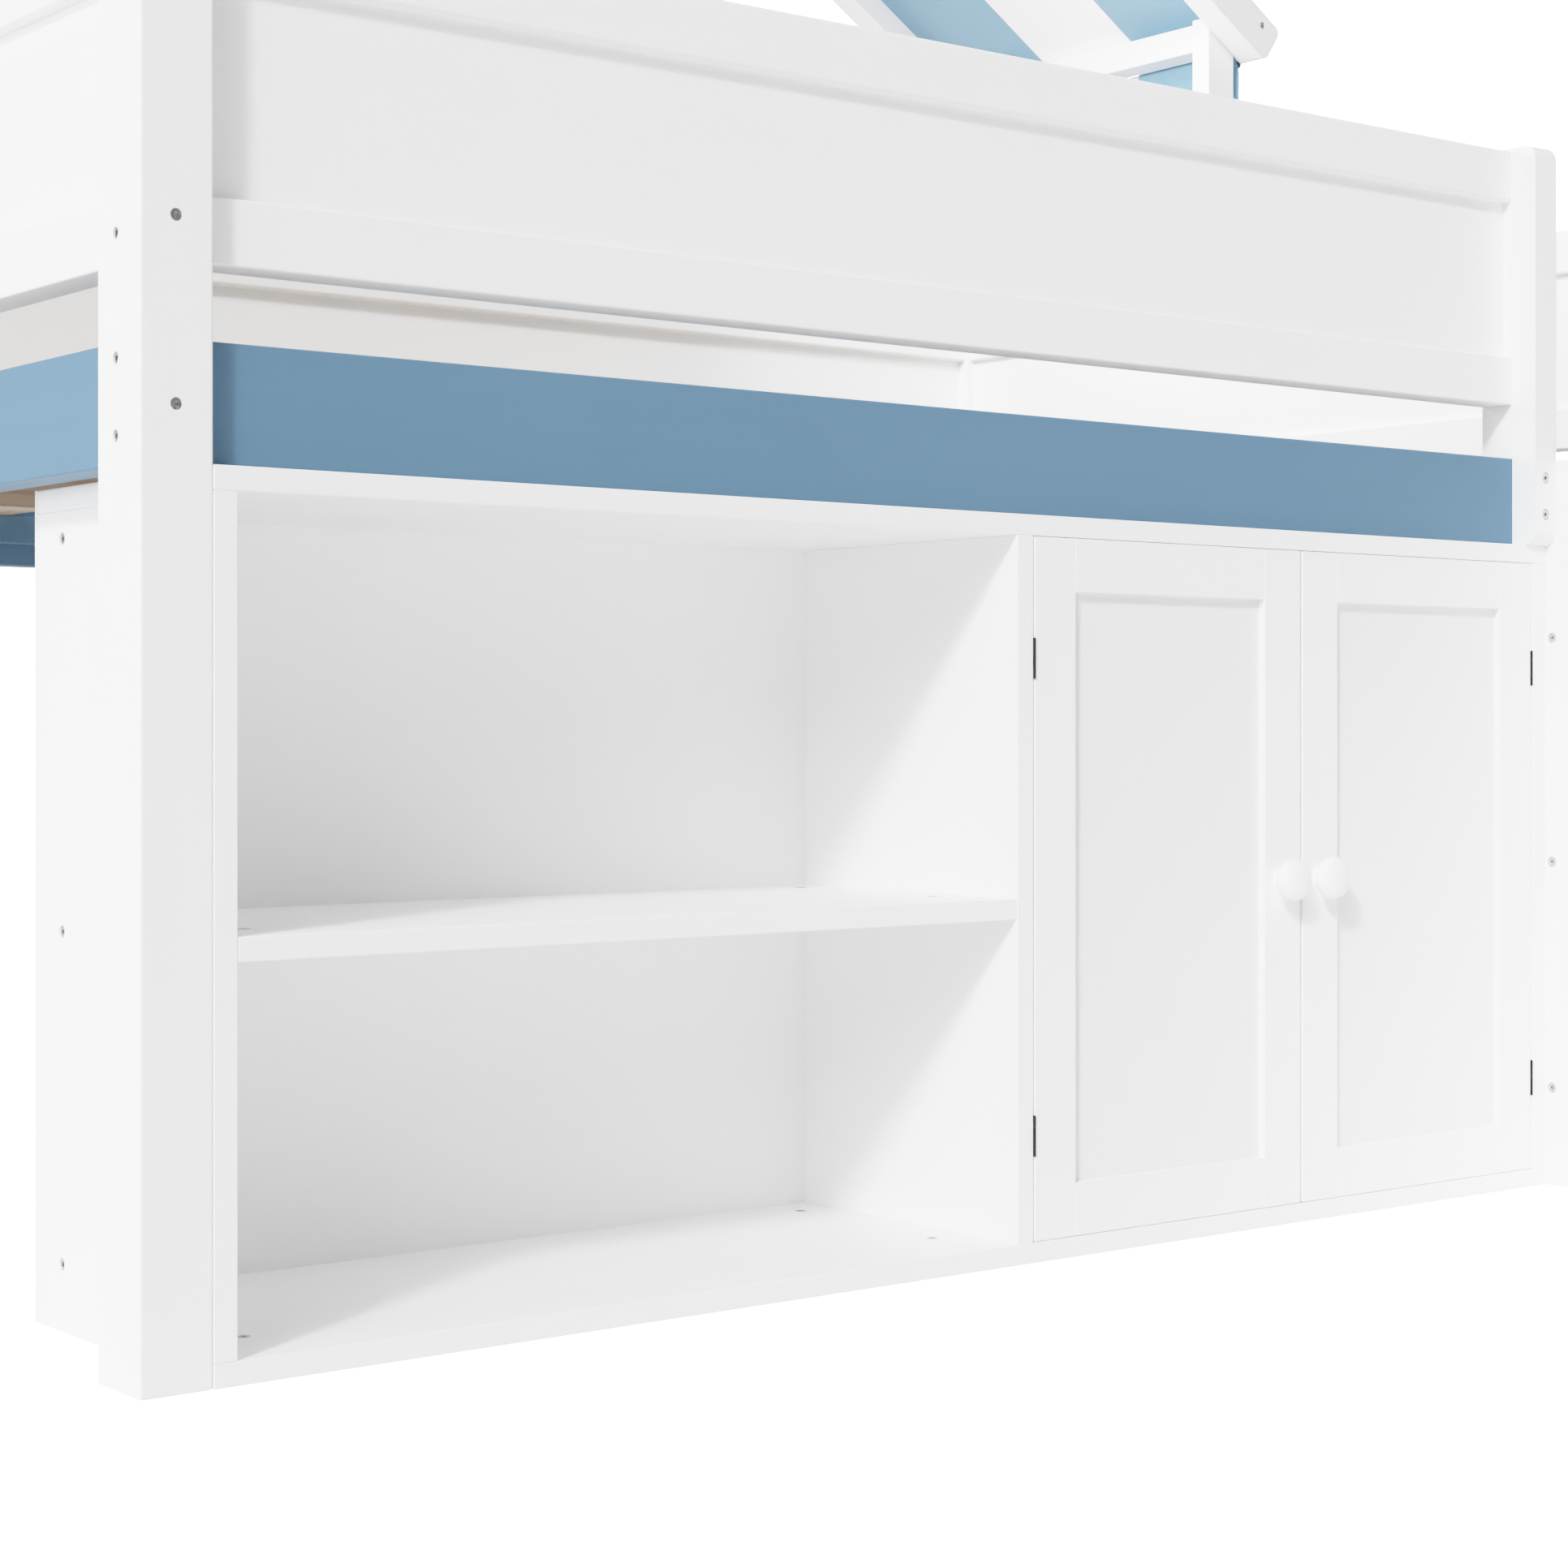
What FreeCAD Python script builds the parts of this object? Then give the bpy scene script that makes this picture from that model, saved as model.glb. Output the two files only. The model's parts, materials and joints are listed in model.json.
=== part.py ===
import FreeCAD, Part
import math
import os

V = FreeCAD.Vector

# ---------------------------------------------------------------- dimensions
# All in millimetres. Working frame: X along the bed, Y from the cabinet side
# to the wall side, Z up, zero at the outer foot of the front left post.
# SHIFT moves the whole part so that its origin is at the centre of its base.
L = 2020.0            # bed length over the posts
W = 1515.0            # bed width over the posts
POST_X = 57.0         # corner post section
POST_Y = 74.0
POST_H = 1104.0
RAIL_Z0, RAIL_Z1 = 678.7, 770.0      # blue bed rails
GLOW_Z0, GLOW_Z1 = 826.7, 877.3      # lower guard rails
GTOP_Z0, GTOP_Z1 = 1041.2, 1095.3    # upper guard rails
SIDE_Y0, SIDE_Y1 = 17.0, 56.0        # front rails, behind the post faces
BACK_Y0, BACK_Y1 = 31.0, 70.0        # back rails, from the outer post faces
END_X0, END_X1 = 12.7, 46.7          # left end rails, behind the post faces
RIGHT_X0, RIGHT_X1 = 19.0, 53.0      # right end rails, from the outer post faces
PANEL_T = 12.0                       # guard panels
PANEL_IN = 12.0                      # panel set back from the rail face
GROOVE = 8.0
SPOST_X0, SPOST_X1 = 1534.5, 1568.5  # short post beside the stair opening
SPOST_Y0, SPOST_Y1 = -14.5, 58.0     # it stands out in front of the cabinet
SPOST_Z0, SPOST_Z1 = 678.0, 1098.7
SPOST_R = 14.5        # rounding of its ends

CLEAT_Z0, CLEAT_Z1, CLEAT_T = 704.0, 737.0, 25.0
SLAT_N, SLAT_X, SLAT_PITCH, SLAT_W, SLAT_T = 13, 90.0, 147.0, 90.0, 18.0
BEAM_Y0, BEAM_Y1, BEAM_Z0 = 735.0, 780.0, 695.0

T = 19.0              # cabinet boards
CAB_X0, CAB_X1 = 57.0, 1568.5
CAB_D = 323.0
CAB_H = 678.0
BACK_T = 5.0
RIGHT_T = 22.5        # cabinet right side
DIV_X = 830.9
SHELF_Z = 312.0
DOOR_T = 18.0
DOOR_Z0, DOOR_Z1 = 19.6, 658.4
LD_X0, LD_X1 = 851.7, 1196.0
RD_X0, RD_X1 = 1199.0, 1544.2
STILE = 49.5
DOOR_RAIL = 48.8      # height of the top and bottom rails
DOOR_PANEL_IN = 8.5
DOOR_PANEL_T = 6.0
DOOR_EDGE_R = 0.8     # rounded edge round the recessed panel
HINGE_Y = -1.0
HINGE_R = 0.85
PIN_R, KNUCKLE_BORE_R = 0.45, 0.5
LH_X = 850.8
RH_X = 1545.1
LEAF_T = 0.7          # hinge leaf
HINGE_Z = (97.0, 529.5)
HINGE_H = 37.0
HINGE_ENDS = 10.5     # length of the two outer knuckles
KNOB_Z = 337.5
KNOB_L, KNOB_R = 1168.5, 1223.6
KNOB_HEAD_R, KNOB_HEAD_D, KNOB_OUT = 20.5, 26.0, 31.0

ST_X0, ST_X1 = 1568.5, 2020.0        # stairs
ST_T = 18.0
RISE, GOING, STEPS = 192.0, 205.0, 4
ST_BACK_H = 684.0

# awning over the far right corner
A_POST_X0, A_POST_X1 = 2001.0, 2051.0
A_NEAR_Y0, A_NEAR_Y1 = 956.6, 989.6
A_FAR_Y0, A_FAR_Y1 = 1406.0, 1439.0
A_BACK_X0, A_BACK_X1 = 1499.0, 1549.0
A_BACK_Y0, A_BACK_Y1 = 1484.0, 1517.0
A_POST_Z0 = 680.0
PITCH = math.atan(0.6556)
A_X, A_Z = 2003.0, 1503.7            # a point under the awning boards
RAFT_T = 44.6
RAFT_LO, RAFT_HI = -33.3, 21.5       # rafter below and above the board underside
A_U0, A_U1 = -590.0, 101.0           # rafter ends along the slope
BOARD_U1 = 94.0
BOARD_T = 18.0
A_Y0, A_Y1 = 956.6, 1534.1           # between the two rafters
EAVE_X0, EAVE_X1, EAVE_Z0, EAVE_Z1 = 2003.0, 2046.0, 1437.0, 1475.3
RIDGE_X0, RIDGE_X1 = 1501.0, 1546.0
ROD_X, ROD_Z, ROD_R = 2066.0, 1436.0, 7.0
CURTAIN = (2056.0, 966.0, 800.0, 2080.0, 1160.0, 1425.0)

SHIFT = V(-1047.512, -379.35, 0.0)

parts = {}


# ---------------------------------------------------------------- helpers
def box(x0, y0, z0, x1, y1, z1):
    return Part.makeBox(x1 - x0, y1 - y0, z1 - z0, V(x0, y0, z0))


def rbox(x0, y0, z0, x1, y1, z1, r=1.5):
    """Board or post with its edges eased."""
    b = box(x0, y0, z0, x1, y1, z1)
    return b.makeFillet(r, b.Edges)


def cyl(p, d, r, h):
    return Part.makeCylinder(r, h, V(*p), V(*d))


def cut(s, tools):
    for t in tools:
        if s.BoundBox.intersect(t.BoundBox):
            s = s.cut(t)
    return s


def one(s):
    """The single solid of a shape, as a clean solid."""
    s = s.removeSplitter()
    sol = s.Solids
    assert len(sol) == 1, len(sol)
    return sol[0]


def rounded_profile(pts, radii):
    """Closed wire through 2D points lying in space, corners rounded."""
    n = len(pts)
    edges = []
    starts, ends, mids = [], [], []
    for i in range(n):
        p, a, b = pts[i], pts[i - 1], pts[(i + 1) % n]
        r = radii[i]
        if r <= 0:
            starts.append(p)
            ends.append(p)
            mids.append(None)
            continue
        u = (a - p).normalize()
        w = (b - p).normalize()
        ang = math.acos(max(-1, min(1, u.dot(w))))
        d = r / math.tan(ang / 2)
        bis = (u + w).normalize()
        c = p + bis * (r / math.sin(ang / 2))
        starts.append(p + u * d)
        ends.append(p + w * d)
        mids.append(c - bis * r)
    for i in range(n):
        if mids[i] is not None:
            edges.append(Part.Arc(starts[i], mids[i], ends[i]).toShape())
        nxt = (i + 1) % n
        if (starts[nxt] - ends[i]).Length > 1e-6:
            edges.append(Part.LineSegment(ends[i], starts[nxt]).toShape())
    return Part.Wire(edges)


# ---------------------------------------------------------------- bolts
bolts = []
bolt_holes = []


def bolt(p, d, length, head_r=4.0, bore_r=4.7, sink=5.0):
    """Socket head bolt sunk in a counterbore; d points into the wood."""
    d = V(*d)
    p = V(*p)
    hole = Part.makeCylinder(bore_r, sink, p, d)
    hole = hole.fuse(Part.makeCylinder(3.3, length + 1.0, p, d))
    bolt_holes.append(hole)
    top = p + d * 0.8
    head = Part.makeCylinder(head_r, sink - 0.8, top, d)
    if abs(d.z) < 0.5:
        e1 = V(0, 0, 1)
    else:
        e1 = V(1, 0, 0)
    e2 = d.cross(e1)
    hexp = []
    for i in range(7):
        a = math.radians(60 * i)
        hexp.append(top + e1 * (2.2 * math.cos(a)) + e2 * (2.2 * math.sin(a)))
    sock = Part.Face(Part.makePolygon(hexp)).extrude(d * 2.6)
    b = head.cut(sock).fuse(Part.makeCylinder(3.0, length - sink, p + d * sink, d))
    bolts.append(one(b))


def mx(x):
    return L - x


def my(y):
    return W - y


for xx, sx in ((28.0, 1), (mx(28.0), -1)):
    for yy, sy in ((0.0, 1), (W, -1)):
        # through the post into the end rails
        for z in (720.2, 857.4, 1082.0):
            bolt((xx, yy, z), (0, sy, 0), POST_Y + 40)
for yy in (41.5, my(50.5)):
    for xx, sx in ((0.0, 1), (L, -1)):
        # through the post into the side rails
        for z in (698.0, 754.9, 846.1, 1060.0):
            if xx == L and yy < W / 2 and z > 800:
                continue      # no guard across the stair opening
            bolt((xx, yy, z), (sx, 0, 0), POST_X + 40)
for z in (709.9, 748.4):
    bolt(((SPOST_X0 + SPOST_X1) / 2, SPOST_Y0, z), (0, 1, 0), 62.0, 5.2, 6.0)
# cabinet left side: shelf and corner fixings
bolt((CAB_X0, 273.6, 321.5), (1, 0, 0), 50.0, 4.2, 5.2, 3.0)
bolt((CAB_X0, 273.6, 636.4), (1, 0, 0), 17.0, 4.2, 5.2, 3.0)
bolt((CAB_X0, 273.6, 54.8), (1, 0, 0), 17.0, 4.2, 5.2, 3.0)
# stair sides into the stair back board
for z in (103.8, 342.9, 580.3):
    bolt((ST_X0, -8.5, z), (1, 0, 0), 52.0, 4.4, 5.4, 3.5)
    bolt((ST_X1, -8.5, z), (-1, 0, 0), 52.0, 4.4, 5.4, 3.5)
# stair back board into the front right post
for z in (220.0, 480.0):
    bolt((1982.5, -ST_T, z), (0, 1, 0), 60.0, 4.4, 5.4, 3.5)
# awning posts into the guard behind them
for y in ((A_NEAR_Y0 + A_NEAR_Y1) / 2, (A_FAR_Y0 + A_FAR_Y1) / 2):
    for z in (726.0, 854.5, 1072.0):
        bolt((A_POST_X1, y, z), (-1, 0, 0), 74.0)
for z in (726.0, 854.5, 1072.0):
    bolt(((A_BACK_X0 + A_BACK_X1) / 2, A_BACK_Y1, z), (0, -1, 0), 60.0)


def slope_pt(u, n, y):
    """Point on the awning: u down the slope, n out of the board underside."""
    c, s = math.cos(PITCH), math.sin(PITCH)
    return V(A_X + u * c + n * s, y, A_Z - u * s + n * c)


def at_slope(u, n):
    p = slope_pt(u, n, 0)
    return p.x, p.z


for u, n in ((68.6, 5.0), (-560.0, -19.0)):
    x, z = at_slope(u, n)
    bolt((x, A_Y0 - RAFT_T, z), (0, 1, 0), 80.0)
    bolt((x, A_Y1 + RAFT_T, z), (0, -1, 0), 80.0)

bolt_group = Part.makeCompound(bolts)

# ---------------------------------------------------------------- bed frame
parts["front_left_post"] = rbox(0, 0, 0, POST_X, POST_Y, POST_H, 2.5)
parts["back_left_post"] = rbox(0, my(POST_Y), 0, POST_X, W, POST_H, 2.5)
parts["front_right_post"] = rbox(mx(POST_X), 0, 0, L, POST_Y, POST_H, 2.5)
parts["back_right_post"] = rbox(mx(POST_X), my(POST_Y), 0, L, W, POST_H, 2.5)

fx0, fx1 = POST_X, mx(POST_X)
ey0, ey1 = POST_Y, my(POST_Y)
front_rail = rbox(fx0, SIDE_Y0, RAIL_Z0, fx1, SIDE_Y1, RAIL_Z1, 2.0)
parts["front_side_rail"] = front_rail
parts["back_side_rail"] = rbox(fx0, my(BACK_Y1), RAIL_Z0, fx1, my(BACK_Y0), RAIL_Z1, 2.0)
parts["left_end_rail"] = rbox(END_X0, ey0, RAIL_Z0, END_X1, ey1, RAIL_Z1, 2.0)
parts["right_end_rail"] = rbox(mx(RIGHT_X1), ey0, RAIL_Z0, mx(RIGHT_X0), ey1, RAIL_Z1, 2.0)

# short post beside the stair opening: ends rounded front and back, notched
# round the rail
spost = box(SPOST_X0, SPOST_Y0, SPOST_Z0, SPOST_X1, SPOST_Y1, SPOST_Z1)
ends = [e for e in spost.Edges if abs(e.Vertexes[0].X - e.Vertexes[1].X) > 1.0]
spost = spost.makeFillet(SPOST_R, ends)
notch = box(SPOST_X0 - 1, SIDE_Y0, SPOST_Z0 - 1, SPOST_X1 + 1, SIDE_Y1, RAIL_Z1)
notch = notch.fuse(box(SPOST_X0 - 1, SIDE_Y1 - 1, SPOST_Z0 - 1, SPOST_X1 + 1,
                       SPOST_Y1 + 1, RAIL_Z1))
parts["stair_opening_post"] = one(spost.cut(notch))


# ---------------------------------------------------------------- guards
def guard(name, axis, a0, a1, t0, t1, panel0, panel1):
    """Two rails with a groove and a flat panel held between them.
    axis is the run direction; t0..t1 the rail thickness; panel0..panel1 the
    panel thickness; a0..a1 the run."""
    def b(p0, p1, q0, q1, z0, z1, r):
        if axis == "x":
            return rbox(p0, q0, z0, p1, q1, z1, r)
        return rbox(q0, p0, z0, q1, p1, z1, r)

    def sb(p0, p1, q0, q1, z0, z1):
        if axis == "x":
            return box(p0, q0, z0, p1, q1, z1)
        return box(q0, p0, z0, q1, p1, z1)

    low = b(a0, a1, t0, t1, GLOW_Z0, GLOW_Z1, 2.0)
    top = b(a0, a1, t0, t1, GTOP_Z0, GTOP_Z1, 4.0)
    pan = sb(a0, a1, panel0, panel1, GLOW_Z1 - GROOVE, GTOP_Z0 + GROOVE)
    low = one(low.cut(pan))
    top = one(top.cut(pan))
    parts[name + "_guard_rails"] = Part.makeCompound([low, top])
    parts[name + "_guard_panel"] = pan


guard("front", "x", fx0, SPOST_X0, SIDE_Y0, SIDE_Y1,
      SIDE_Y0 + PANEL_IN, SIDE_Y0 + PANEL_IN + PANEL_T)
guard("back", "x", fx0, fx1, my(BACK_Y1), my(BACK_Y0),
      my(BACK_Y0 + PANEL_IN + PANEL_T), my(BACK_Y0 + PANEL_IN))
guard("left", "y", ey0, ey1, END_X0, END_X1,
      END_X0 + PANEL_IN, END_X0 + PANEL_IN + PANEL_T)
guard("right", "y", ey0, ey1, mx(RIGHT_X1), mx(RIGHT_X0),
      mx(RIGHT_X0 + PANEL_IN + PANEL_T), mx(RIGHT_X0 + PANEL_IN))

# ---------------------------------------------------------------- deck
parts["slat_cleats"] = Part.makeCompound([
    rbox(fx0 + 3, SIDE_Y1, CLEAT_Z0, fx1 - 3, SIDE_Y1 + CLEAT_T, CLEAT_Z1, 1.5),
    rbox(fx0 + 3, my(BACK_Y1 + CLEAT_T), CLEAT_Z0, fx1 - 3, my(BACK_Y1), CLEAT_Z1, 1.5)])
slats = []
for i in range(SLAT_N):
    x = SLAT_X + i * SLAT_PITCH
    slats.append(rbox(x, SIDE_Y1 + 2, CLEAT_Z1, x + SLAT_W, my(BACK_Y1 + 2),
                      CLEAT_Z1 + SLAT_T, 2.0))
parts["bed_slats"] = Part.makeCompound(slats)
parts["centre_beam"] = rbox(END_X1, BEAM_Y0, BEAM_Z0, mx(RIGHT_X1), BEAM_Y1, CLEAT_Z1, 1.5)
parts["centre_leg"] = rbox(985, BEAM_Y0, 0, 1035, BEAM_Y1, BEAM_Z0, 2.0)

# ---------------------------------------------------------------- cabinet
parts["cabinet_top"] = rbox(CAB_X0, 0, CAB_H - T, CAB_X1, CAB_D, CAB_H)
parts["cabinet_bottom"] = rbox(CAB_X0, 0, 0, CAB_X1, CAB_D, T)
parts["cabinet_left_side"] = rbox(CAB_X0, 0, T, CAB_X0 + T, CAB_D, CAB_H - T, 1.0)
parts["cabinet_right_side"] = rbox(CAB_X1 - RIGHT_T, 0, T, CAB_X1, CAB_D, CAB_H - T, 1.0)
parts["cabinet_divider"] = rbox(DIV_X, 0, T, DIV_X + T, CAB_D, CAB_H - T, 1.0)
parts["cabinet_shelf"] = rbox(CAB_X0 + T, 0.5, SHELF_Z, DIV_X, CAB_D, SHELF_Z + T, 1.5)
parts["cabinet_back"] = box(CAB_X0, CAB_D, 0, CAB_X1, CAB_D + BACK_T, CAB_H)

cams = []
cam_holes = []
for z in (SHELF_Z + T, T):
    for x in (119.0, 796.0):
        for y in (79.0, 281.0):
            cam_holes.append(cyl((x, y, z - 5.0), (0, 0, 1), 5.5, 6.0))
            c = cyl((x, y, z - 5.0), (0, 0, 1), 5.2, 5.2)
            c = c.cut(box(x - 4.0, y - 0.8, z - 1.4, x + 4.0, y + 0.8, z + 1.0))
            c = c.cut(box(x - 0.8, y - 4.0, z - 1.4, x + 0.8, y + 4.0, z + 1.0))
            cams.append(one(c))
parts["cam_locks"] = Part.makeCompound(cams)


# ---------------------------------------------------------------- doors
def door(name, x0, x1):
    """Stiles and rails round a recessed panel. The edge round the panel is
    rounded as one frame, then the frame is parted into its four members."""
    z0, z1 = DOOR_Z0, DOOR_Z1
    pan = box(x0 + STILE - GROOVE, DOOR_PANEL_IN, z0 + DOOR_RAIL - GROOVE,
              x1 - STILE + GROOVE, DOOR_PANEL_IN + DOOR_PANEL_T, z1 - DOOR_RAIL + GROOVE)
    frame = rbox(x0, 0, z0, x1, DOOR_T, z1, 1.2)
    frame = frame.cut(box(x0 + STILE, -1, z0 + DOOR_RAIL, x1 - STILE, DOOR_T + 1, z1 - DOOR_RAIL))

    def inner(e):
        for v in e.Vertexes:
            if abs(v.Y) > 1e-6:
                return False
            if not (x0 + STILE - 0.1 < v.X < x1 - STILE + 0.1):
                return False
            if not (z0 + DOOR_RAIL - 0.1 < v.Z < z1 - DOOR_RAIL + 0.1):
                return False
        return True

    frame = frame.makeFillet(DOOR_EDGE_R, [e for e in frame.Edges if inner(e)])
    frame = frame.cut(pan)
    # fine V joint lines where the rails meet the stiles
    for x in (x0 + STILE, x1 - STILE):
        for za, zb in ((z0 - 1, z0 + DOOR_RAIL), (z1 - DOOR_RAIL, z1 + 1)):
            w = 0.7
            tri = Part.makePolygon([V(x - w, -0.01, za), V(x + w, -0.01, za), V(x, w, za),
                                    V(x - w, -0.01, za)])
            frame = frame.cut(Part.Face(tri).extrude(V(0, 0, zb - za)))
    members = (box(x0 - 1, -1, z0 - 1, x0 + STILE, DOOR_T + 1, z1 + 1),
               box(x1 - STILE, -1, z0 - 1, x1 + 1, DOOR_T + 1, z1 + 1),
               box(x0 + STILE, -1, z0 - 1, x1 - STILE, DOOR_T + 1, z0 + DOOR_RAIL + 1),
               box(x0 + STILE, -1, z1 - DOOR_RAIL - 1, x1 - STILE, DOOR_T + 1, z1 + 1))
    parts[name + "_door_frame"] = Part.makeCompound([one(frame.common(m)) for m in members])
    parts[name + "_door_panel"] = pan


door("left", LD_X0, LD_X1)
door("right", RD_X0, RD_X1)


def knob(x, z):
    """Turned round knob: foot, waist and an oval head, axis along -Y."""
    hr, hd = KNOB_HEAD_R, KNOB_HEAD_D / 2.0
    yc = -(KNOB_OUT - hd)
    # the head's oval, from the waist round to the crown
    t0 = math.radians(152.0)
    pts = []
    n = 12
    for i in range(n + 1):
        t = t0 * (1 - i / n)
        pts.append(V(x + hr * math.sin(t), yc - hd * math.cos(t), z))
    pts[-1] = V(x, -KNOB_OUT, z)
    waist = pts[0]
    foot = [V(x, 0, z), V(x + 10.0, 0, z), V(x + 10.0, -1.6, z), V(x + 9.0, -2.6, z)]
    head = Part.BSplineCurve()
    head.interpolate(pts)
    e = [Part.LineSegment(foot[i], foot[i + 1]).toShape() for i in range(3)]
    e.append(Part.LineSegment(foot[3], waist).toShape())
    e.append(head.toShape())
    e.append(Part.LineSegment(pts[-1], foot[0]).toShape())
    f = Part.Face(Part.Wire(e))
    s = f.revolve(V(x, 0, z), V(0, 1, 0), 360)
    s = s.Solids[0] if s.Solids else Part.Solid(s)
    if s.Volume < 0:
        s.reverse()
    return s


parts["left_door_knob"] = knob(KNOB_L, KNOB_Z)
parts["right_door_knob"] = knob(KNOB_R, KNOB_Z)


def hinge(xc, side, z0):
    """Slim butt hinge: side +1 has the fixed leaf at lower X."""
    z1 = z0 + HINGE_H
    k = HINGE_ENDS
    gap = 0.9             # half of the gap between door edge and carcass
    fx = xc - gap if side > 0 else xc + gap - LEAF_T
    mv = xc + gap - LEAF_T if side > 0 else xc - gap
    fixed = box(fx, 0.2, z0, fx + LEAF_T, 16.0, z1)
    moving = box(mv, 0.2, z0, mv + LEAF_T, 16.0, z1)
    for za, zb in ((z0, z0 + k - 0.2), (z1 - k + 0.2, z1)):
        fixed = fixed.fuse(box(fx, HINGE_Y, za, fx + LEAF_T, 1.0, zb))
        fixed = fixed.fuse(cyl((xc, HINGE_Y, za), (0, 0, 1), HINGE_R, zb - za))
    fixed = fixed.fuse(cyl((xc, HINGE_Y, z0), (0, 0, 1), PIN_R, HINGE_H))
    moving = moving.fuse(box(mv, HINGE_Y, z0 + k + 0.2, mv + LEAF_T, 1.0, z1 - k - 0.2))
    moving = moving.fuse(cyl((xc, HINGE_Y, z0 + k + 0.2), (0, 0, 1), HINGE_R,
                             HINGE_H - 2 * k - 0.4))
    moving = moving.cut(cyl((xc, HINGE_Y, z0 - 1), (0, 0, 1), KNUCKLE_BORE_R, HINGE_H + 2))
    return one(fixed), one(moving)


fixed_leaves, left_leaves, right_leaves = [], [], []
for z in HINGE_Z:
    a, b_ = hinge(LH_X, 1, z)
    fixed_leaves.append(a)
    left_leaves.append(b_)
    a, b_ = hinge(RH_X, -1, z)
    fixed_leaves.append(a)
    right_leaves.append(b_)
parts["hinge_fixed_leaves"] = Part.makeCompound(fixed_leaves)
parts["left_door_hinge_leaves"] = Part.makeCompound(left_leaves)
parts["right_door_hinge_leaves"] = Part.makeCompound(right_leaves)

CATCH = ((1102.0, 1142.0), (1253.0, 1293.0))
parts["magnetic_catches"] = Part.makeCompound(
    [rbox(a, 20.0, CAB_H - T - 12.0, b_, 34.0, CAB_H - T, 1.0) for a, b_ in CATCH])
parts["left_door_strike"] = box(CATCH[0][0], DOOR_T, 644.0, CATCH[0][1], DOOR_T + 1.2, 655.5)
parts["right_door_strike"] = box(CATCH[1][0], DOOR_T, 644.0, CATCH[1][1], DOOR_T + 1.2, 655.5)


# ---------------------------------------------------------------- stairs
def stair_side(x0, x1, yb):
    p, r = [], []
    p.append(V(x0, yb, 0)); r.append(0)
    p.append(V(x0, yb, RISE * STEPS)); r.append(0)
    for i in range(STEPS):
        h = RISE * (STEPS - i)
        y = -GOING * (i + 1)
        p.append(V(x0, y, h)); r.append(14.0)
        p.append(V(x0, y, h - RISE)); r.append(0)
    w = rounded_profile(p, r)
    s = Part.Face(w).extrude(V(x1 - x0, 0, 0))
    return one(s)


parts["stair_left_side"] = stair_side(ST_X0, ST_X0 + ST_T, SIDE_Y0)
parts["stair_right_side"] = stair_side(ST_X1 - ST_T, ST_X1, 0.0)
sx0, sx1 = ST_X0 + ST_T, ST_X1 - ST_T
parts["stair_back_board"] = rbox(sx0, -ST_T, 0, sx1, 0, ST_BACK_H, 1.0)
treads, risers = [], []
for i in range(STEPS):
    h = RISE * (i + 1)
    y1 = -GOING * (STEPS - 1 - i)
    y0 = y1 - GOING
    # each tread but the top one runs back under the riser that stands on it
    tr = box(sx0, y0, h - T, sx1, y1 + (18.0 if i < STEPS - 1 else 0.0), h)
    front = [e for e in tr.Edges
             if abs(e.Vertexes[0].Y - y0) < 1e-6 and abs(e.Vertexes[1].Y - y0) < 1e-6
             and abs(e.Vertexes[0].Z - e.Vertexes[1].Z) < 1e-6]
    treads.append(tr.makeFillet(8.0, front))
    risers.append(box(sx0, y0 + 3.0, h - RISE, sx1, y0 + 3.0 + 15.0, h - T))
parts["stair_treads"] = Part.makeCompound(treads)
parts["stair_risers"] = Part.makeCompound(risers)


# ---------------------------------------------------------------- awning
def slope_box(u0, u1, n0, n1, y0, y1, radii):
    pts = [slope_pt(u0, n0, y0), slope_pt(u1, n0, y0), slope_pt(u1, n1, y0), slope_pt(u0, n1, y0)]
    w = rounded_profile(pts, radii)
    return one(Part.Face(w).extrude(V(0, y1 - y0, 0)))


parts["awning_near_rafter"] = slope_box(A_U0, A_U1, RAFT_LO, RAFT_HI, A_Y0 - RAFT_T, A_Y0,
                                        [2.0, 11.0, 11.0, 2.0])
parts["awning_far_rafter"] = slope_box(A_U0, A_U1, RAFT_LO, RAFT_HI, A_Y1, A_Y1 + RAFT_T,
                                       [2.0, 11.0, 11.0, 2.0])
bw = (A_Y1 - A_Y0) / 3.0
for i, nm in enumerate(("near", "middle", "far")):
    y0 = A_Y0 + i * bw + (0.0 if i == 0 else 0.75)
    y1 = A_Y0 + (i + 1) * bw - (0.0 if i == 2 else 0.75)
    parts["awning_board_" + nm] = slope_box(A_U0, BOARD_U1, 0.0, BOARD_T, y0, y1,
                                            [1.0, 3.0, 3.0, 1.0])
# a solid above the board underside, to trim the posts and beams
over = slope_box(A_U0 - 60, A_U1 + 60, 0.0, 400.0, A_Y0 - 100, A_Y1 + 100, [0, 0, 0, 0])
near_post = rbox(A_POST_X0, A_NEAR_Y0, A_POST_Z0, A_POST_X1, A_NEAR_Y1, 1481.5, 2.0)
parts["awning_near_post"] = one(near_post.cut(over))
parts["awning_far_post"] = rbox(A_POST_X0, A_FAR_Y0, A_POST_Z0, A_POST_X1, A_FAR_Y1, EAVE_Z0, 2.0)
parts["awning_eave_beam"] = rbox(EAVE_X0, A_NEAR_Y1, EAVE_Z0, EAVE_X1, A_Y1, EAVE_Z1, 1.5)
ridge_z1 = A_Z - math.tan(PITCH) * (RIDGE_X1 - A_X)
parts["awning_ridge_beam"] = rbox(RIDGE_X0, A_Y0, ridge_z1 - 45.0, RIDGE_X1, A_Y1, ridge_z1 - 0.3, 1.5)
parts["awning_back_post"] = rbox(A_BACK_X0, A_BACK_Y0, A_POST_Z0, A_BACK_X1, A_BACK_Y1,
                                 ridge_z1 - 45.0, 2.0)
parts["curtain_rod"] = cyl((ROD_X, A_Y0, ROD_Z), (0, 1, 0), ROD_R, A_Y1 - A_Y0)
parts["curtain"] = rbox(*CURTAIN, r=6.0)

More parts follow.
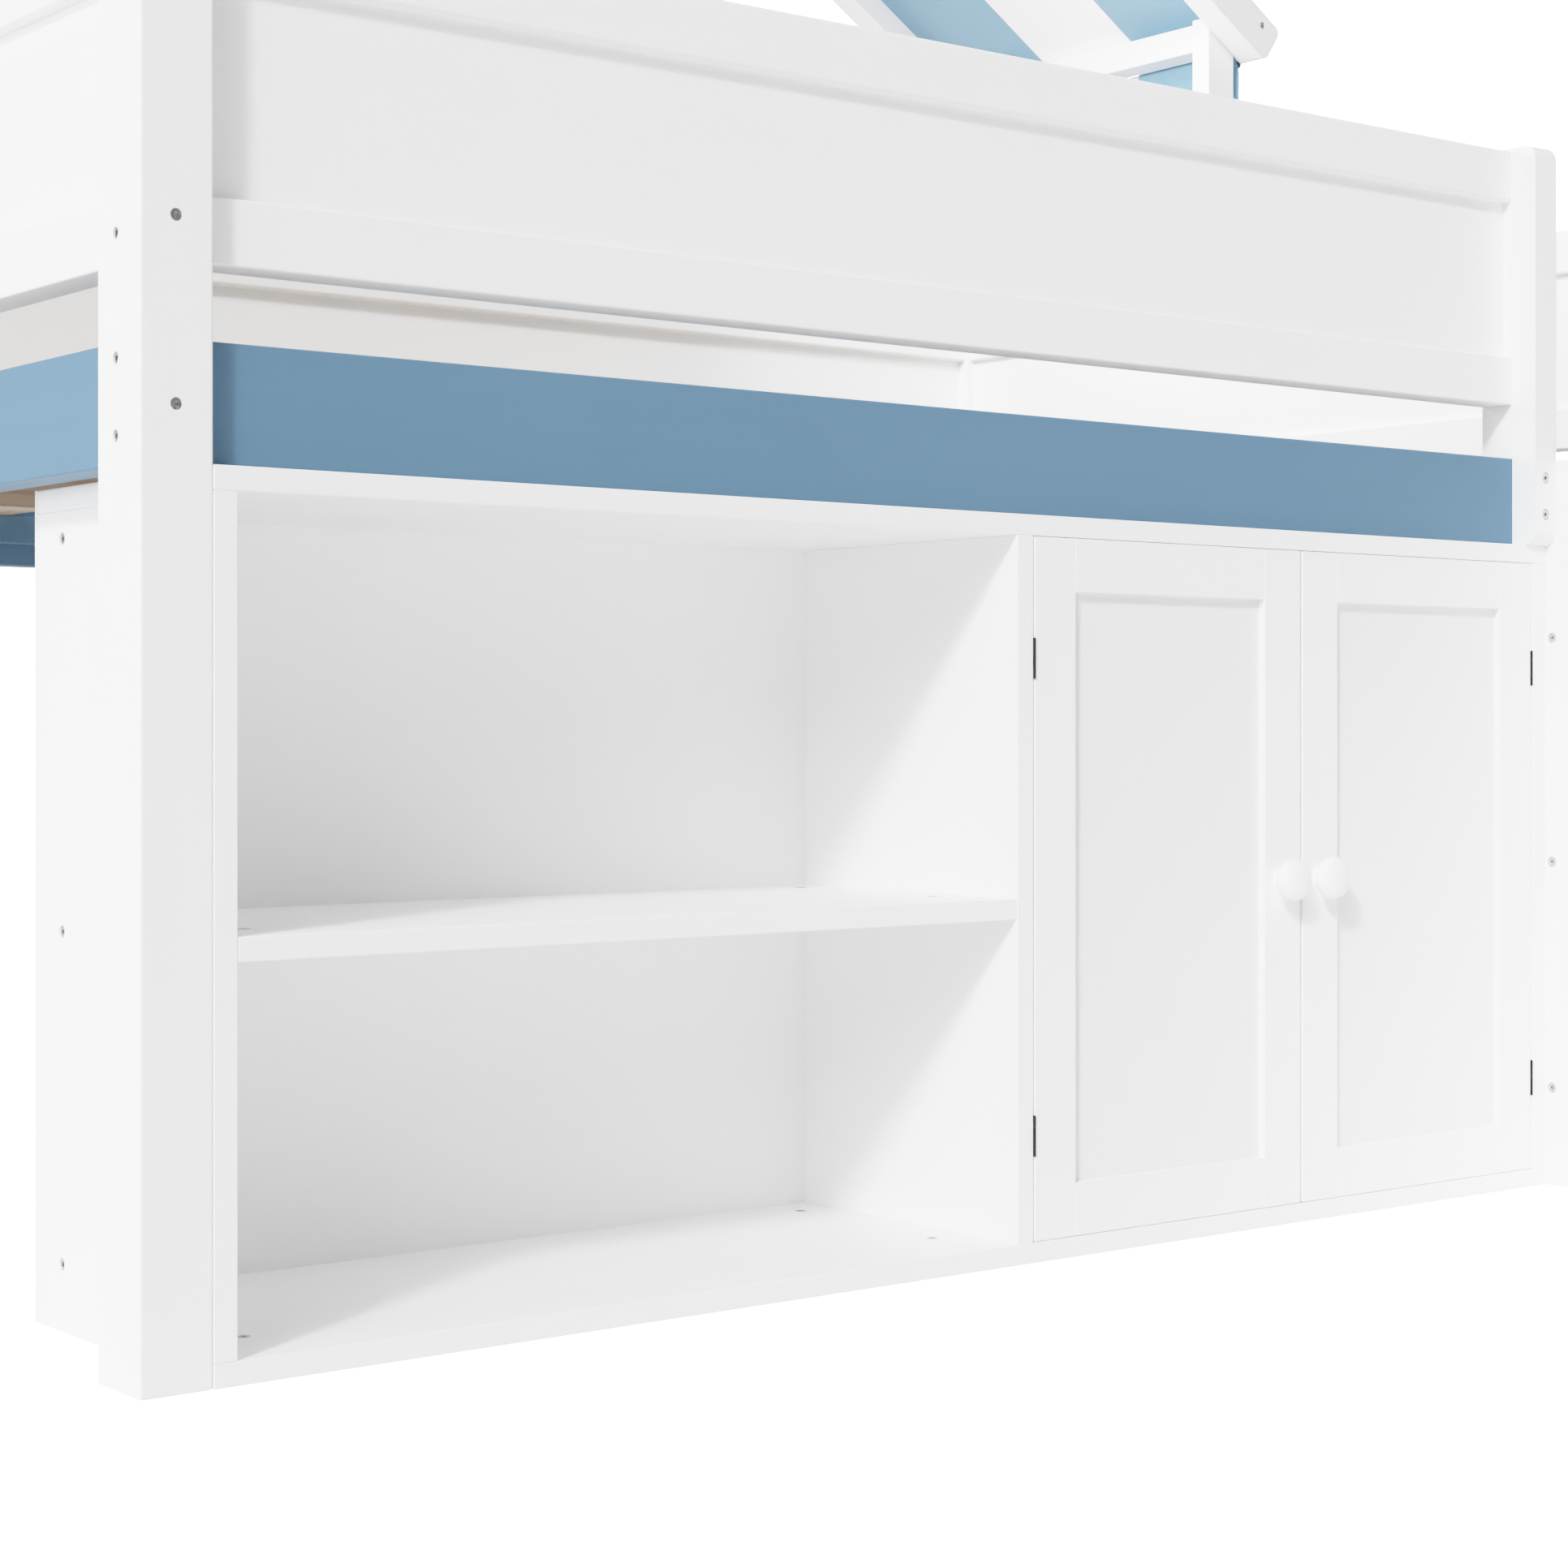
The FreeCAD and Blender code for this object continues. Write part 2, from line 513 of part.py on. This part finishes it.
# ---------------------------------------------------------------- fixings
wood = [n for n in parts if n not in ("cam_locks", "curtain", "curtain_rod", "left_door_knob",
                                      "right_door_knob", "hinge_fixed_leaves")]
for n in wood:
    s = parts[n]
    near = [h for h in bolt_holes if s.BoundBox.intersect(h.BoundBox)]
    if not near and not n.startswith("cabinet_"):
        continue
    sols = []
    for q in s.Solids:
        q2 = cut(q, near)
        if n in ("cabinet_shelf", "cabinet_bottom"):
            q2 = cut(q2, cam_holes)
        sols.extend(q2.Solids)
    parts[n] = sols[0] if len(sols) == 1 else Part.makeCompound(sols)
parts["joint_bolts"] = bolt_group

# ---------------------------------------------------------------- export
os.makedirs("parts", exist_ok=True)
bb = FreeCAD.BoundBox()
count = 0
for n, s in parts.items():
    s = s.copy()
    s.translate(SHIFT)
    bb.add(s.BoundBox)
    count += len(s.Solids)
    for q in s.Solids:
        if not q.isValid() or q.Volume <= 0:
            print("CHECK", n, q.isValid(), q.Volume)
    s.exportStep("parts/%s.step" % n)
print(len(parts), "nodes", count, "solids")
print("box", [round(v, 3) for v in (bb.XMin, bb.YMin, bb.ZMin, bb.XMax, bb.YMax, bb.ZMax)])
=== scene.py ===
import json
import math
import random

import bpy
import bmesh
from mathutils import Matrix, Vector


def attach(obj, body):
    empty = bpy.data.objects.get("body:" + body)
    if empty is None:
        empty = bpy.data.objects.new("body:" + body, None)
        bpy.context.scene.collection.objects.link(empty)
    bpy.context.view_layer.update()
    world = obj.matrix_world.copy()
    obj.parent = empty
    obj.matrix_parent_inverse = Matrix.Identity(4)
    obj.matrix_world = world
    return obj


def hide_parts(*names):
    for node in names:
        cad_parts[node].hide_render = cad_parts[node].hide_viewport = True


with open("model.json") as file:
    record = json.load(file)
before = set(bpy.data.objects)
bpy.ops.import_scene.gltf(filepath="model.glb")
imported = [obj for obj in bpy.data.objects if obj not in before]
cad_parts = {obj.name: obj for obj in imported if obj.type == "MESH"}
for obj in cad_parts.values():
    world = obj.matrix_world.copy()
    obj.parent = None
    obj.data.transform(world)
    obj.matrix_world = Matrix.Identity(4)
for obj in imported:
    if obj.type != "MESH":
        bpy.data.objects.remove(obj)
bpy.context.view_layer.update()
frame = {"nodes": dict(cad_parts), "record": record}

scene = bpy.context.scene
nodes = frame["nodes"]

# Working drawing offsets: the part's own frame has its origin at the centre of
# the base, the drawing's zero is the outer foot of the front left post (mm).
OX, OY = -1047.512, -379.35


def at(x, y, z):
    return Vector(((x + OX) / 1000.0, (y + OY) / 1000.0, z / 1000.0))


# ------------------------------------------------------------------ camera
cam_data = bpy.data.cameras.new("camera")
cam = bpy.data.objects.new("camera", cam_data)
scene.collection.objects.link(cam)
cam.location = at(-910.9, -2035.8, 484.6)
cam.rotation_euler = (math.radians(90.0), 0.0, -math.atan2(0.6493, 0.7605))
cam_data.sensor_width = 36.0
cam_data.lens = 3665.7 / 1932.0 * 36.0
cam_data.shift_x = (966.0 - 1250.0) / 1932.0
cam_data.shift_y = (897.29 - 966.0) / 1932.0
cam_data.clip_start = 0.05
cam_data.clip_end = 200.0
scene.camera = cam

# ------------------------------------------------------------------ tone
# A soft shoulder, as studio product pictures have: whites roll off gently
# while the blues keep their contrast.
vs = scene.view_settings
vs.view_transform = "Standard"
vs.look = "None"
vs.exposure = 0.0
vs.gamma = 1.0
vs.use_curve_mapping = True
cm = vs.curve_mapping
TOP = 3.0
GAIN = 5.0


def shoulder(x):
    return 1.0 - (1.0 + x * GAIN / 6.0) ** -6.0


cm.black_level = (0.0, 0.0, 0.0)
cm.white_level = (TOP, TOP, TOP)
crv = cm.curves[3]
xs = [0.0, 0.012, 0.025, 0.04, 0.058, 0.08, 0.105, 0.135, 0.17, 0.21, 0.25, 0.3, 0.35, 0.41, 0.48, 0.56, 0.65, 0.77,
      0.92, 1.12, 1.4, 1.8, 2.35, 3.0]
crv.points[0].location = (0.0, 0.0)
crv.points[1].location = (1.0, 1.0)
for x in xs[1:-1]:
    crv.points.new(x / TOP, shoulder(x))
for p in crv.points:
    p.handle_type = "VECTOR"
cm.update()


# ------------------------------------------------------------------ node help
def new_mat(name):
    m = bpy.data.materials.new(name)
    m.use_nodes = True
    nt = m.node_tree
    bsdf = next(n for n in nt.nodes if n.type == "BSDF_PRINCIPLED")
    return m, nt, bsdf


def add(nt, kind, **kw):
    n = nt.nodes.new(kind)
    for k, v in kw.items():
        setattr(n, k, v)
    return n


def noise(nt, vec, scale, detail=3.0, rough=0.5, dist=0.0):
    n = add(nt, "ShaderNodeTexNoise")
    n.inputs["Scale"].default_value = scale
    n.inputs["Detail"].default_value = detail
    n.inputs["Roughness"].default_value = rough
    n.inputs["Distortion"].default_value = dist
    nt.links.new(vec, n.inputs["Vector"])
    return n.outputs["Fac"]


def remap(nt, fac, a, b, lo=0.3, hi=0.7):
    n = add(nt, "ShaderNodeMapRange")
    n.inputs["From Min"].default_value = lo
    n.inputs["From Max"].default_value = hi
    n.inputs["To Min"].default_value = a
    n.inputs["To Max"].default_value = b
    nt.links.new(fac, n.inputs["Value"])
    return n.outputs["Result"]


def mix_col(nt, fac, a, b):
    n = add(nt, "ShaderNodeMix", data_type="RGBA")
    nt.links.new(fac, n.inputs[0])
    for sock, c in ((n.inputs[6], a), (n.inputs[7], b)):
        if isinstance(c, tuple):
            sock.default_value = (*c, 1.0)
        else:
            nt.links.new(c, sock)
    return n.outputs[2]


def bump(nt, height, strength, dist, normal=None):
    n = add(nt, "ShaderNodeBump")
    n.inputs["Strength"].default_value = strength
    n.inputs["Distance"].default_value = dist
    nt.links.new(height, n.inputs["Height"])
    if normal is not None:
        nt.links.new(normal, n.inputs["Normal"])
    return n.outputs["Normal"]


def coords(nt, scale, rot_y=0.0):
    tc = add(nt, "ShaderNodeTexCoord")
    mp = add(nt, "ShaderNodeMapping")
    mp.inputs["Scale"].default_value = scale
    mp.inputs["Rotation"].default_value = (0.0, rot_y, 0.0)
    nt.links.new(tc.outputs["Object"], mp.inputs["Vector"])
    return tc.outputs["Object"], mp.outputs["Vector"]


RUN = {"x": (2.2, 70.0, 70.0), "y": (70.0, 2.2, 70.0), "z": (70.0, 70.0, 2.2), "s": (2.2, 70.0, 70.0)}
PITCH = math.atan(0.6556)


def paint(name, axis, col, dark, rough, spec):
    """Satin paint on wood: faint grain that shows through along the run of the
    board, a fine rolled texture, and slow changes of tone."""
    m, nt, b = new_mat(name)
    obj, run = coords(nt, RUN[axis], -PITCH if axis == "s" else 0.0)
    grain = noise(nt, run, 1.0, 5.0, 0.62, 0.25)
    slow = noise(nt, obj, 2.6, 2.0, 0.5)
    peel = noise(nt, obj, 620.0, 2.0, 0.55)
    tone = add(nt, "ShaderNodeMath", operation="ADD")
    nt.links.new(remap(nt, grain, 0.0, 0.45), tone.inputs[0])
    nt.links.new(remap(nt, slow, 0.0, 0.55), tone.inputs[1])
    nt.links.new(mix_col(nt, tone.outputs[0], dark, col), b.inputs["Base Color"])
    nt.links.new(remap(nt, grain, rough[0], rough[1]), b.inputs["Roughness"])
    n1 = bump(nt, grain, 0.10, 0.0006)
    nt.links.new(bump(nt, peel, 0.06, 0.00025, n1), b.inputs["Normal"])
    b.inputs["Specular IOR Level"].default_value = spec
    return m


WHITE, WHITE_D = (0.935, 0.935, 0.935), (0.918, 0.918, 0.918)
BLUE, BLUE_D = (0.094, 0.182, 0.285), (0.088, 0.171, 0.269)
white = {a: paint("white_paint_" + a, a, WHITE, WHITE_D, (0.42, 0.52), 0.40) for a in "xyzs"}
# Door panels get a greyer copy of the same white paint: painted shade standing in for the shade of their recess in
# the door frames.
painted_shade_panel_white = paint("white_paint_panel_painted_shade", "z", (0.852, 0.852, 0.852), (0.835, 0.835, 0.835), (0.42, 0.52), 0.40)
blue = {a: paint("blue_paint_" + a, a, BLUE, BLUE_D, (0.46, 0.56), 0.16) for a in "xys"}
pale_blue = paint("pale_blue_paint_s", "s", (0.190, 0.330, 0.460), (0.178, 0.313, 0.438), (0.46, 0.56), 0.16)


def softwood(name, axis):
    """Planed pale softwood: growth bands stretched along the run, darker
    latewood lines, pores and a few broad tone changes."""
    m, nt, b = new_mat(name)
    sc = {"x": (0.55, 16.0, 16.0), "y": (16.0, 0.55, 16.0)}[axis]
    obj, run = coords(nt, sc)
    warp = noise(nt, run, 1.1, 3.0, 0.55, 0.6)
    band = add(nt, "ShaderNodeTexWave", wave_type="RINGS", rings_direction={"x": "X", "y": "Y"}[axis])
    band.inputs["Scale"].default_value = 1.5
    band.inputs["Distortion"].default_value = 5.5
    band.inputs["Detail"].default_value = 3.0
    band.inputs["Detail Scale"].default_value = 1.2
    nt.links.new(run, band.inputs["Vector"])
    fine = noise(nt, run, 9.0, 4.0, 0.7)
    base = mix_col(nt, remap(nt, warp, 0.0, 1.0), (0.325, 0.243, 0.18), (0.405, 0.315, 0.238))
    late = mix_col(nt, remap(nt, band.outputs["Fac"], 0.0, 0.55, 0.62, 0.98), base, (0.26, 0.175, 0.115))
    pores = mix_col(nt, remap(nt, fine, 0.0, 0.25, 0.55, 0.75), late, (0.22, 0.15, 0.10))
    nt.links.new(pores, b.inputs["Base Color"])
    nt.links.new(remap(nt, fine, 0.5, 0.68), b.inputs["Roughness"])
    n1 = bump(nt, band.outputs["Fac"], 0.12, 0.0005)
    nt.links.new(bump(nt, fine, 0.16, 0.0003, n1), b.inputs["Normal"])
    b.inputs["Specular IOR Level"].default_value = 0.35
    return m


wood = {a: softwood("softwood_" + a, a) for a in "xy"}


def metal(name, col, dark, rough, scale):
    m, nt, b = new_mat(name)
    obj, fine = coords(nt, (scale, scale, scale * 0.35))
    f = noise(nt, fine, 1.0, 3.0, 0.6)
    nt.links.new(mix_col(nt, remap(nt, f, 0.0, 1.0), dark, col), b.inputs["Base Color"])
    nt.links.new(remap(nt, f, rough[0], rough[1]), b.inputs["Roughness"])
    nt.links.new(bump(nt, f, 0.08, 0.0001), b.inputs["Normal"])
    b.inputs["Metallic"].default_value = 1.0
    return m


steel = metal("plated_steel", (0.62, 0.60, 0.58), (0.46, 0.45, 0.44), (0.24, 0.42), 700.0)


def dark_coat(name, col, dark, rough, spec, scale):
    m, nt, b = new_mat(name)
    obj, fine = coords(nt, (scale, scale, scale))
    f = noise(nt, fine, 1.0, 3.0, 0.6)
    nt.links.new(mix_col(nt, remap(nt, f, 0.0, 1.0), dark, col), b.inputs["Base Color"])
    nt.links.new(remap(nt, f, rough[0], rough[1]), b.inputs["Roughness"])
    nt.links.new(bump(nt, f, 0.06, 0.0001), b.inputs["Normal"])
    b.inputs["Specular IOR Level"].default_value = spec
    return m


hinge_mat = dark_coat("hinge_metal", (0.012, 0.012, 0.013), (0.006, 0.006, 0.007), (0.45, 0.6), 0.3, 500.0)
catch_mat = dark_coat("catch_plastic", (0.085, 0.048, 0.028), (0.060, 0.034, 0.020), (0.45, 0.6), 0.4, 400.0)


def cloth(name):
    """Plain woven cotton: crossed threads, slubs and a soft sheen."""
    m, nt, b = new_mat(name)
    uv = add(nt, "ShaderNodeUVMap", uv_map="weave")
    mp = add(nt, "ShaderNodeMapping")
    mp.inputs["Scale"].default_value = (1.0, 1.0, 1.0)
    nt.links.new(uv.outputs["UV"], mp.inputs["Vector"])
    warp = add(nt, "ShaderNodeTexWave", wave_type="BANDS", bands_direction="X")
    weft = add(nt, "ShaderNodeTexWave", wave_type="BANDS", bands_direction="Y")
    for w in (warp, weft):
        w.inputs["Scale"].default_value = 190.0
        w.inputs["Distortion"].default_value = 0.6
        w.inputs["Detail"].default_value = 1.0
        nt.links.new(mp.outputs["Vector"], w.inputs["Vector"])
    weave = add(nt, "ShaderNodeMath", operation="MAXIMUM")
    nt.links.new(warp.outputs["Fac"], weave.inputs[0])
    nt.links.new(weft.outputs["Fac"], weave.inputs[1])
    slub = noise(nt, mp.outputs["Vector"], 55.0, 3.0, 0.6)
    tone = add(nt, "ShaderNodeMath", operation="MULTIPLY")
    nt.links.new(weave.outputs[0], tone.inputs[0])
    nt.links.new(remap(nt, slub, 0.65, 1.0), tone.inputs[1])
    nt.links.new(mix_col(nt, tone.outputs[0], (0.152, 0.300, 0.435), (0.203, 0.368, 0.510)),
                 b.inputs["Base Color"])
    b.inputs["Roughness"].default_value = 0.85
    b.inputs["Sheen Weight"].default_value = 0.25
    b.inputs["Sheen Roughness"].default_value = 0.5
    b.inputs["Specular IOR Level"].default_value = 0.2
    n1 = bump(nt, weave.outputs[0], 0.35, 0.0003)
    nt.links.new(bump(nt, slub, 0.15, 0.0004, n1), b.inputs["Normal"])
    return m


fabric = cloth("curtain_cotton")

# ------------------------------------------------------------------ CAD finishes
ALONG = {
    "x": ("front_side_rail", "back_side_rail", "front_guard_rails", "front_guard_panel", "back_guard_rails",
          "back_guard_panel", "slat_cleats", "centre_beam", "cabinet_top", "cabinet_bottom", "cabinet_shelf",
          "cabinet_back", "stair_treads", "stair_risers"),
    "y": ("left_end_rail", "right_end_rail", "left_guard_rails", "left_guard_panel", "right_guard_rails",
          "right_guard_panel", "bed_slats", "awning_eave_beam", "awning_ridge_beam", "curtain_rod"),
    "s": ("awning_board_near", "awning_board_middle", "awning_board_far", "awning_near_rafter",
          "awning_far_rafter"),
}
axis_of = {n: a for a, ns in ALONG.items() for n in ns}
slot_of = {s["node"]: s["material_slot"] for s in frame["record"]["subparts"]}
for name, o in nodes.items():
    a = axis_of.get(name, "z")
    s = slot_of[name]
    if s == "white_paint":
        # door panels take the greyer white, which is painted shade of their recess
        m = painted_shade_panel_white if name.endswith("door_panel") else white[a]
    elif s == "blue_paint":
        m = pale_blue if name.startswith("awning") else blue[a]
    elif s == "natural_wood":
        m = wood[a]
    elif s == "fixing_steel":
        m = steel
    elif s == "hinge_metal":
        m = hinge_mat
    elif s == "catch_plastic":
        m = catch_mat
    else:
        m = fabric
    o.data.materials.clear()
    o.data.materials.append(m)


# ------------------------------------------------------------------ curtain
# A flat cut hung on the rod by a pocket, falling in a few soft waves.
ROD_X, ROD_Z = 2066.0, 1436.0
CUR_Y0, CUR_Y1 = 963.0, 1160.0
FLAT_W, FLAT_L = 0.225, 0.69
NU, NV = 176, 96
PLEATS = 3.0
rng = random.Random(11)
amp_k = [0.85 + 0.3 * rng.random() for _ in range(12)]
pha_k = [rng.uniform(-0.5, 0.5) for _ in range(12)]
low_k = [rng.uniform(-1.0, 1.0) for _ in range(12)]


def lerp_list(lst, t):
    i = max(0, min(len(lst) - 2, int(t)))
    f = t - i
    f = f * f * (3 - 2 * f)
    return lst[i] * (1 - f) + lst[i + 1] * f


# centreline of the cloth in the X-Z plane: up behind the rod, over it, down
# the front to the pocket seam, then straight down to the hem
path = []
r = 9.2
path.append((ROD_X + 3.2, ROD_Z - 16.0))
for k in range(0, 13):
    t = math.radians(-38.0 + k * (256.0 / 12.0))
    path.append((ROD_X + r * math.cos(t), ROD_Z + r * math.sin(t)))
path.append((ROD_X + 0.4, ROD_Z - 16.5))
for k in range(1, 60):
    path.append((ROD_X + 1.5, ROD_Z - 16.5 - (ROD_Z - 16.5 - 800.0) * k / 59.0))
dist = [0.0]
for (xa, za), (xb, zb) in zip(path, path[1:]):
    dist.append(dist[-1] + math.hypot(xb - xa, zb - za))
seam_at = dist[14]
total = dist[-1]


def on_path(d):
    for i in range(len(path) - 1):
        if d <= dist[i + 1] or i == len(path) - 2:
            f = (d - dist[i]) / max(1e-9, dist[i + 1] - dist[i])
            f = max(0.0, min(1.0, f))
            xa, za = path[i]
            xb, zb = path[i + 1]
            tx, tz = xb - xa, zb - za
            ln = math.hypot(tx, tz)
            return xa + tx * f, za + tz * f, -tz / ln, tx / ln
    return path[-1][0], path[-1][1], 1.0, 0.0


# even rows down the hang, closer ones round the pocket
rows = [seam_at * k / 26.0 for k in range(26)]
rows += [seam_at + (total - seam_at) * (k / (NV - 27.0)) ** 1.05 for k in range(NV - 26)]
bm = bmesh.new()
uv_l = bm.loops.layers.uv.new("weave")
grid = []
for d in rows:
    px, pz, nx, nz = on_path(d)
    hang = max(0.0, d - seam_at)
    grow = min(1.0, hang / 120.0)
    grow = grow * grow * (3 - 2 * grow)
    fall = hang / (total - seam_at)
    a = 0.5 + 5.2 * grow + 2.6 * fall
    row = []
    for i in range(NU + 1):
        s = i / NU
        t = s * PLEATS
        ph = 2 * math.pi * t + 0.9 * lerp_list(pha_k, t) + fall * 1.1 * lerp_list(low_k, t)
        w = a * lerp_list(amp_k, t)
        wave = math.sin(ph) + 0.16 * math.sin(2 * ph + 0.6)
        sway = grow * 1.6 * math.sin(2.4 * fall * math.pi + 3.0 * s)
        over = 1.2 * grow * math.sin(2 * ph)
        y = CUR_Y0 + (CUR_Y1 - CUR_Y0) * s + over + 4.0 * fall * math.sin(3.0 * s + 1.0)
        if d < seam_at:
            x, z = px + nx * w * wave * 0.5, pz + nz * w * wave * 0.5
        else:
            x, z = px + w * wave + sway, pz + 0.6 * math.sin(ph * 0.5) * fall
        y = max(CUR_Y0 - 4.0, min(CUR_Y1 + 3.0, y))
        row.append(bm.verts.new(at(x, y, z)))
    grid.append(row)
for j in range(len(grid) - 1):
    for i in range(NU):
        f = bm.faces.new((grid[j][i], grid[j][i + 1], grid[j + 1][i + 1], grid[j + 1][i]))
        f.smooth = True
        for loop, (ii, jj) in zip(f.loops, ((i, j), (i + 1, j), (i + 1, j + 1), (i, j + 1))):
            loop[uv_l].uv = (FLAT_W * ii / NU, rows[jj] / 1000.0)
me = bpy.data.meshes.new("curtain_cloth")
bm.to_mesh(me)
bm.free()
me.materials.append(fabric)
curtain = bpy.data.objects.new("curtain_cloth", me)
scene.collection.objects.link(curtain)
thick = curtain.modifiers.new("thickness", "SOLIDIFY")
thick.thickness = 0.0009
thick.offset = 0.0
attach(curtain, "bed")
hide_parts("curtain")

# ------------------------------------------------------------------ stage
bm = bmesh.new()
bmesh.ops.create_grid(bm, x_segments=1, y_segments=1, size=40.0)
me = bpy.data.meshes.new("floor")
bm.to_mesh(me)
bm.free()
floor = bpy.data.objects.new("floor", me)
floor.location = (0.0, 0.0, -0.0006)
scene.collection.objects.link(floor)
m, nt, b = new_mat("pale_floor")
obj, sc_ = coords(nt, (0.7, 0.7, 0.7))
fac = noise(nt, sc_, 1.0, 2.0, 0.5)
nt.links.new(mix_col(nt, remap(nt, fac, 0.0, 1.0), (0.88, 0.88, 0.88), (0.90, 0.90, 0.90)), b.inputs["Base Color"])
b.inputs["Roughness"].default_value = 0.9
b.inputs["Specular IOR Level"].default_value = 0.1
b.inputs["Emission Color"].default_value = (1.0, 1.0, 1.0, 1.0)
b.inputs["Emission Strength"].default_value = 0.005
lp = add(nt, "ShaderNodeLightPath")
half = add(nt, "ShaderNodeMath", operation="MULTIPLY")
half.inputs[1].default_value = 0.88
nt.links.new(lp.outputs["Is Camera Ray"], half.inputs[0])
em = add(nt, "ShaderNodeEmission")
em.inputs["Color"].default_value = (1.0, 1.0, 1.0, 1.0)
em.inputs["Strength"].default_value = 4.6
mx = add(nt, "ShaderNodeMixShader")
out = next(n for n in nt.nodes if n.type == "OUTPUT_MATERIAL")
nt.links.new(half.outputs[0], mx.inputs[0])
nt.links.new(b.outputs[0], mx.inputs[1])
nt.links.new(em.outputs[0], mx.inputs[2])
nt.links.new(mx.outputs[0], out.inputs["Surface"])
me.materials.append(m)

world = bpy.data.worlds.new("studio")
scene.world = world
world.use_nodes = True
nt = world.node_tree
nt.nodes.clear()
wout = nt.nodes.new("ShaderNodeOutputWorld")
bg_l = nt.nodes.new("ShaderNodeBackground")
bg_l.inputs["Color"].default_value = (1.0, 1.0, 1.0, 1.0)
bg_l.inputs["Strength"].default_value = 0.015
bg_c = nt.nodes.new("ShaderNodeBackground")
bg_c.inputs["Color"].default_value = (1.0, 1.0, 1.0, 1.0)
bg_c.inputs["Strength"].default_value = 4.6
lp = nt.nodes.new("ShaderNodeLightPath")
mx = nt.nodes.new("ShaderNodeMixShader")
nt.links.new(lp.outputs["Is Camera Ray"], mx.inputs[0])
nt.links.new(bg_l.outputs[0], mx.inputs[1])
nt.links.new(bg_c.outputs[0], mx.inputs[2])
nt.links.new(mx.outputs[0], wout.inputs["Surface"])


def sun(name, travel, strength, angle):
    d = bpy.data.lights.new(name, "SUN")
    d.energy = strength
    d.angle = math.radians(angle)
    o = bpy.data.objects.new(name, d)
    scene.collection.objects.link(o)
    o.rotation_euler = Vector(travel).to_track_quat("-Z", "Y").to_euler()
    return o


def lamp(name, az, el, strength, angle):
    # az: the way the light travels, from +X towards +Y; el: how far it falls
    a, e = math.radians(az), math.radians(el)
    sun(name, (math.cos(a) * math.cos(e), math.sin(a) * math.cos(e), -math.sin(e)), strength, angle)


lamp("key", 33.0, 32.0, 0.85, 7.0)
lamp("key_soft", 33.0, 32.0, 0.57, 36.0)
lamp("left_back", -30.0, 4.0, 0.95, 25.0)
lamp("right", 160.0, 15.0, 0.16, 50.0)
lamp("top", 45.0, 88.0, 0.30, 30.0)


def panel(name, pos, aim, size, power):
    d = bpy.data.lights.new(name, "AREA")
    d.shape = "DISK"
    d.size = size
    d.energy = power
    o = bpy.data.objects.new(name, d)
    scene.collection.objects.link(o)
    o.location = at(*pos)
    o.rotation_euler = (at(*aim) - at(*pos)).to_track_quat("-Z", "Y").to_euler()
    o.visible_camera = False
    return o


panel("canopy_fill", (1420.0, 990.0, 1350.0), (2010.0, 1020.0, 1480.0), 0.18, 1.3)

scene.cycles.use_denoising = True
scene.cycles.max_bounces = 14
scene.cycles.diffuse_bounces = 12
